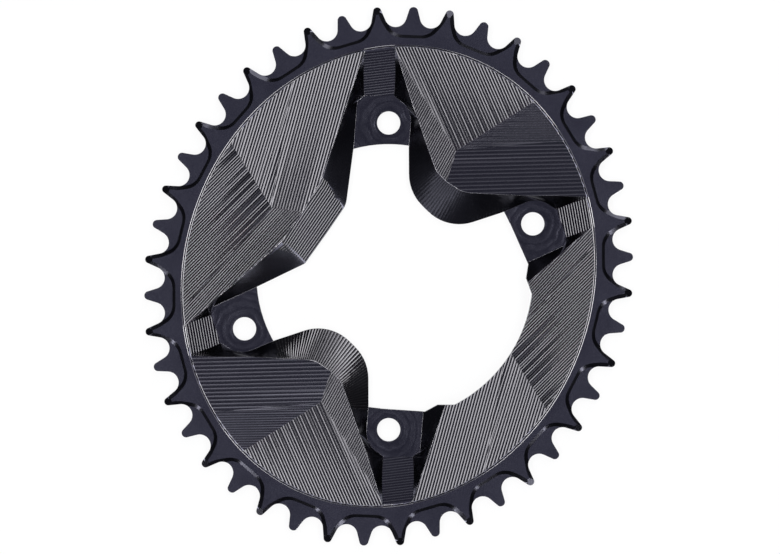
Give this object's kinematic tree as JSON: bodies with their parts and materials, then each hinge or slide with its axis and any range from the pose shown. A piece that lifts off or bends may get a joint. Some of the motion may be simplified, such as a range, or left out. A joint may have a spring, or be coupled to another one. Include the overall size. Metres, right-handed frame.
{
  "type": "bicycle chainring",
  "caption": "Oval bicycle chainring with alternating narrow and wide teeth, a raised faceted body, bolt tabs sunk into it and an open side for the crank arm.",
  "frame": {"origin": "centre of the bolt circle on the back face", "axes": "+Z out of the outer face, +X along the crank arm, through the open side between the two far bolt tabs"},
  "size_m": [0.1764, 0.1936, 0.008],
  "materials": {
    "anodised_aluminium": "black anodised, machined with fine cutter lines"
  },
  "bodies": {
    "root": {"chainring": "anodised_aluminium"}
  },
  "joints": []
}
